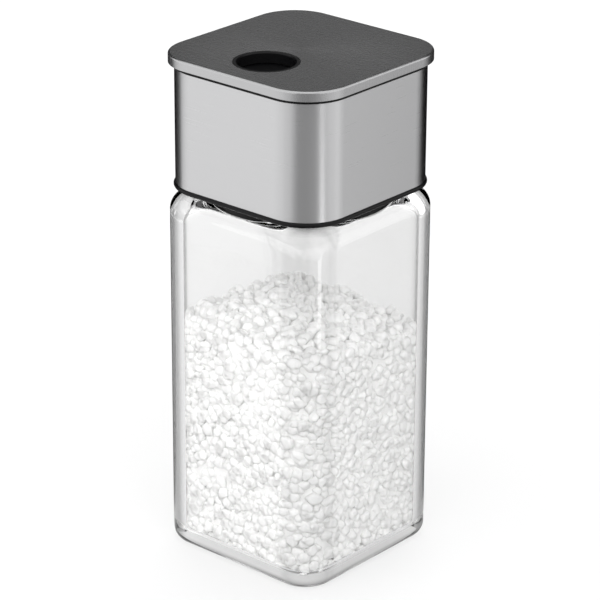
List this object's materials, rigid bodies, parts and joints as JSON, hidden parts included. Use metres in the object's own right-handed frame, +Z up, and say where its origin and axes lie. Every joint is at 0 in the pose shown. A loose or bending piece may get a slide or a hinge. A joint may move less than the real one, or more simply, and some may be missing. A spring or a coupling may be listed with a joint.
{
  "type": "spice shaker",
  "caption": "Square clear glass spice shaker of coarse salt with a screw-on brushed steel cap, whose square top plate turns to set a pour hole over a closed, fine, coarse or open station.",
  "frame": {"origin": "middle of the jar's base, on the surface that it stands on", "axes": "+Z up along the jar, -Y out of the front face, which is the side the pour hole is near at rest, +X to the right of the front"},
  "size_m": [0.06, 0.06, 0.15],
  "materials": {
    "clear_glass": "clear, polished",
    "salt": "coarse white crystals",
    "silicone": "translucent, matte",
    "black_plastic": "black, half gloss",
    "brushed_steel": "brushed round the cap",
    "satin_steel": "fine satin",
    "plain_steel": "plain"
  },
  "bodies": {
    "jar": {"glass_jar": "clear_glass", "coarse_salt": "salt"},
    "seal": {"neck_seal": "silicone"},
    "cap": {"cap_liner": "black_plastic", "cap_sleeve": "brushed_steel", "shaker_plate": "black_plastic"},
    "selector": {"turn_carrier": "black_plastic", "top_plate": "satin_steel", "pour_ring": "black_plastic", "spring_washer": "plain_steel", "pivot_washer": "plain_steel", "pivot_screw": "plain_steel"}
  },
  "joints": [
    {"name": "cap_lift", "type": "slide", "parent": "jar", "child": "seal", "axis": [0, 0, 1], "range_m": [0, 0.012]},
    {"name": "cap_turn", "type": "hinge", "parent": "seal", "child": "cap", "pos_m": [0, 0, 0.121], "axis": [0, 0, 1], "range_deg": [0, 360]},
    {"name": "selector_turn", "type": "hinge", "parent": "cap", "child": "selector", "pos_m": [0, 0, 0.1466], "axis": [0, 0, 1], "continuous": true}
  ],
  "couplings": [
    {"joint": "cap_lift", "follows": "cap_turn", "m_per_rad": 0.0019099}
  ]
}
